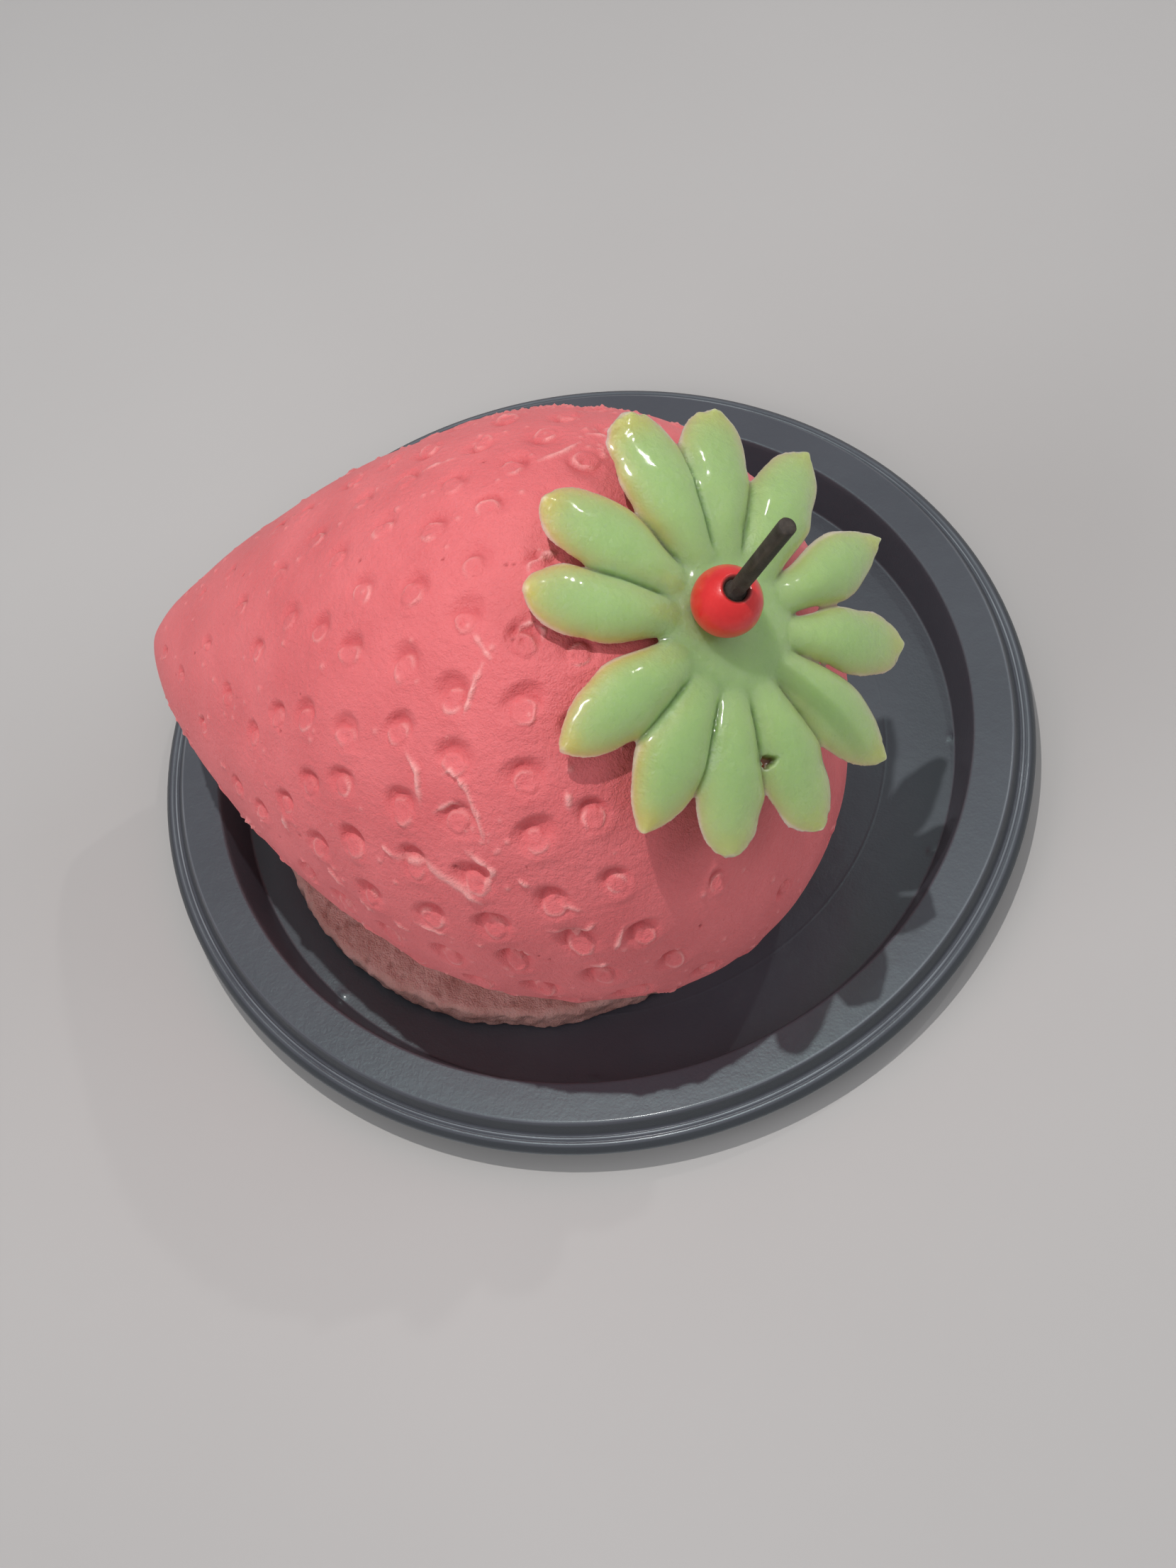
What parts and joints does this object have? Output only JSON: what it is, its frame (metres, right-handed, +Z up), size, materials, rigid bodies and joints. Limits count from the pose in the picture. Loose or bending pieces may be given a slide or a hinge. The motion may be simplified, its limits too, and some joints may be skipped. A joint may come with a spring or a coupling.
{
  "type": "strawberry-shaped mousse cake",
  "caption": "Single-serving dessert moulded as a large strawberry, with a sugar calyx and beaded pick, on a biscuit disc in a round black tray.",
  "frame": {"origin": "centre of the tray's underside, on the plane it rests on", "axes": "+Z up; +X from the strawberry's tip towards its leafy end; +Y across it, towards its back as shown"},
  "size_m": [0.12, 0.12, 0.0832],
  "materials": {
    "mousse": "matte velvet",
    "calyx": "glossy",
    "bead": "satin gloss",
    "pick": "matte stained",
    "biscuit": "matte crumbly",
    "tray": "satin"
  },
  "bodies": {
    "root": {"mousse_body": "mousse", "calyx": "calyx", "bead": "bead", "pick": "pick", "biscuit": "biscuit", "tray": "tray"}
  },
  "joints": []
}
